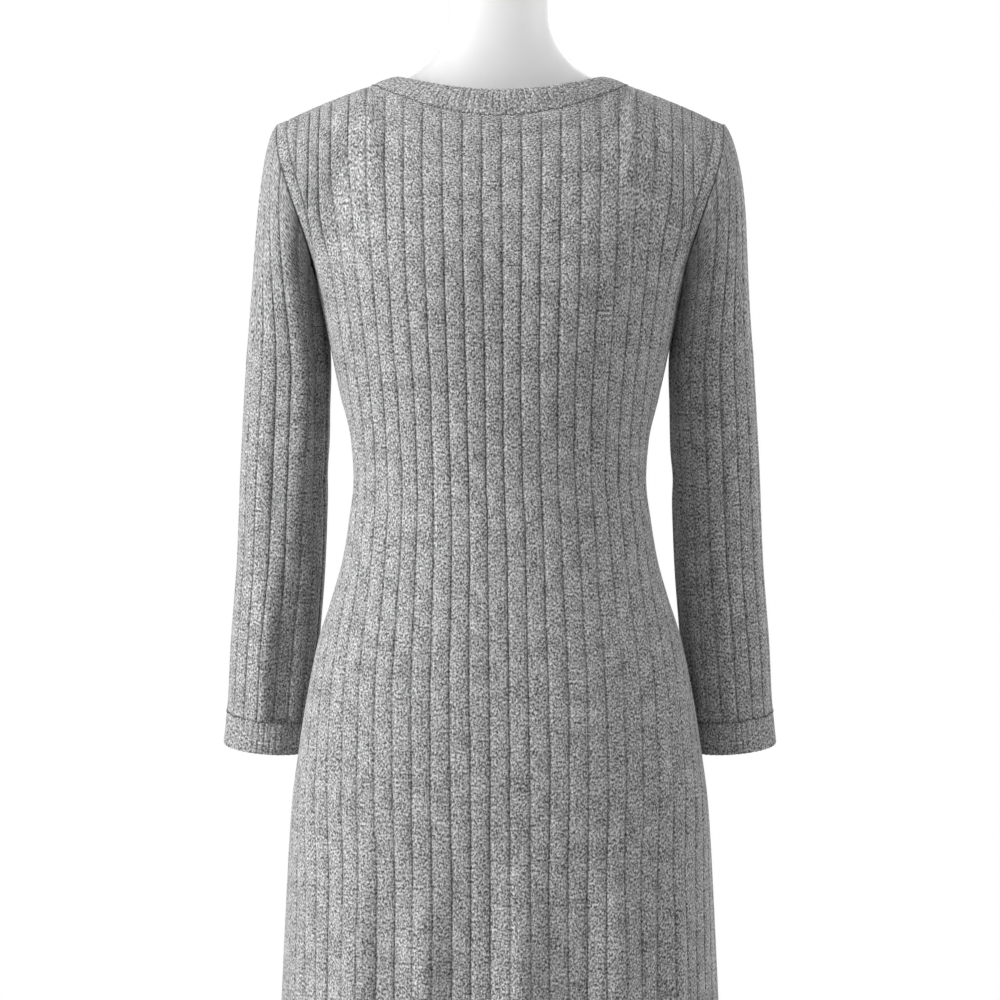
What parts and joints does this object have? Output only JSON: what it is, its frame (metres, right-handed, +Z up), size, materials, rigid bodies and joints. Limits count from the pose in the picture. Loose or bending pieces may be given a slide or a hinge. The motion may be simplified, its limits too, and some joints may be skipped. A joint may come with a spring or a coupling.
{
  "type": "sweater dress on a limbless dress form",
  "caption": "Close-fitting rib-knit sweater dress with long sleeves and a round neck, on a smooth limbless dress form with a pole and round base.",
  "frame": {"origin": "on the floor, under the centre of the round base", "axes": "+Z up; the dress faces -Y and its back faces +Y; +X is the wearer's left"},
  "size_m": [0.4954, 0.4, 1.463],
  "materials": {
    "rib_knit": "heather grey wide-rib knit, soft and matte, slightly brushed",
    "form_shell": "smooth white satin shell",
    "stand_steel": "brushed steel"
  },
  "bodies": {
    "root": {"back_panel": "rib_knit", "front_panel": "rib_knit", "neckband": "rib_knit", "left_sleeve": "rib_knit", "left_cuff": "rib_knit", "right_sleeve": "rib_knit", "right_cuff": "rib_knit", "form_body": "form_shell", "stand_pole": "stand_steel", "stand_base": "stand_steel"}
  },
  "joints": []
}
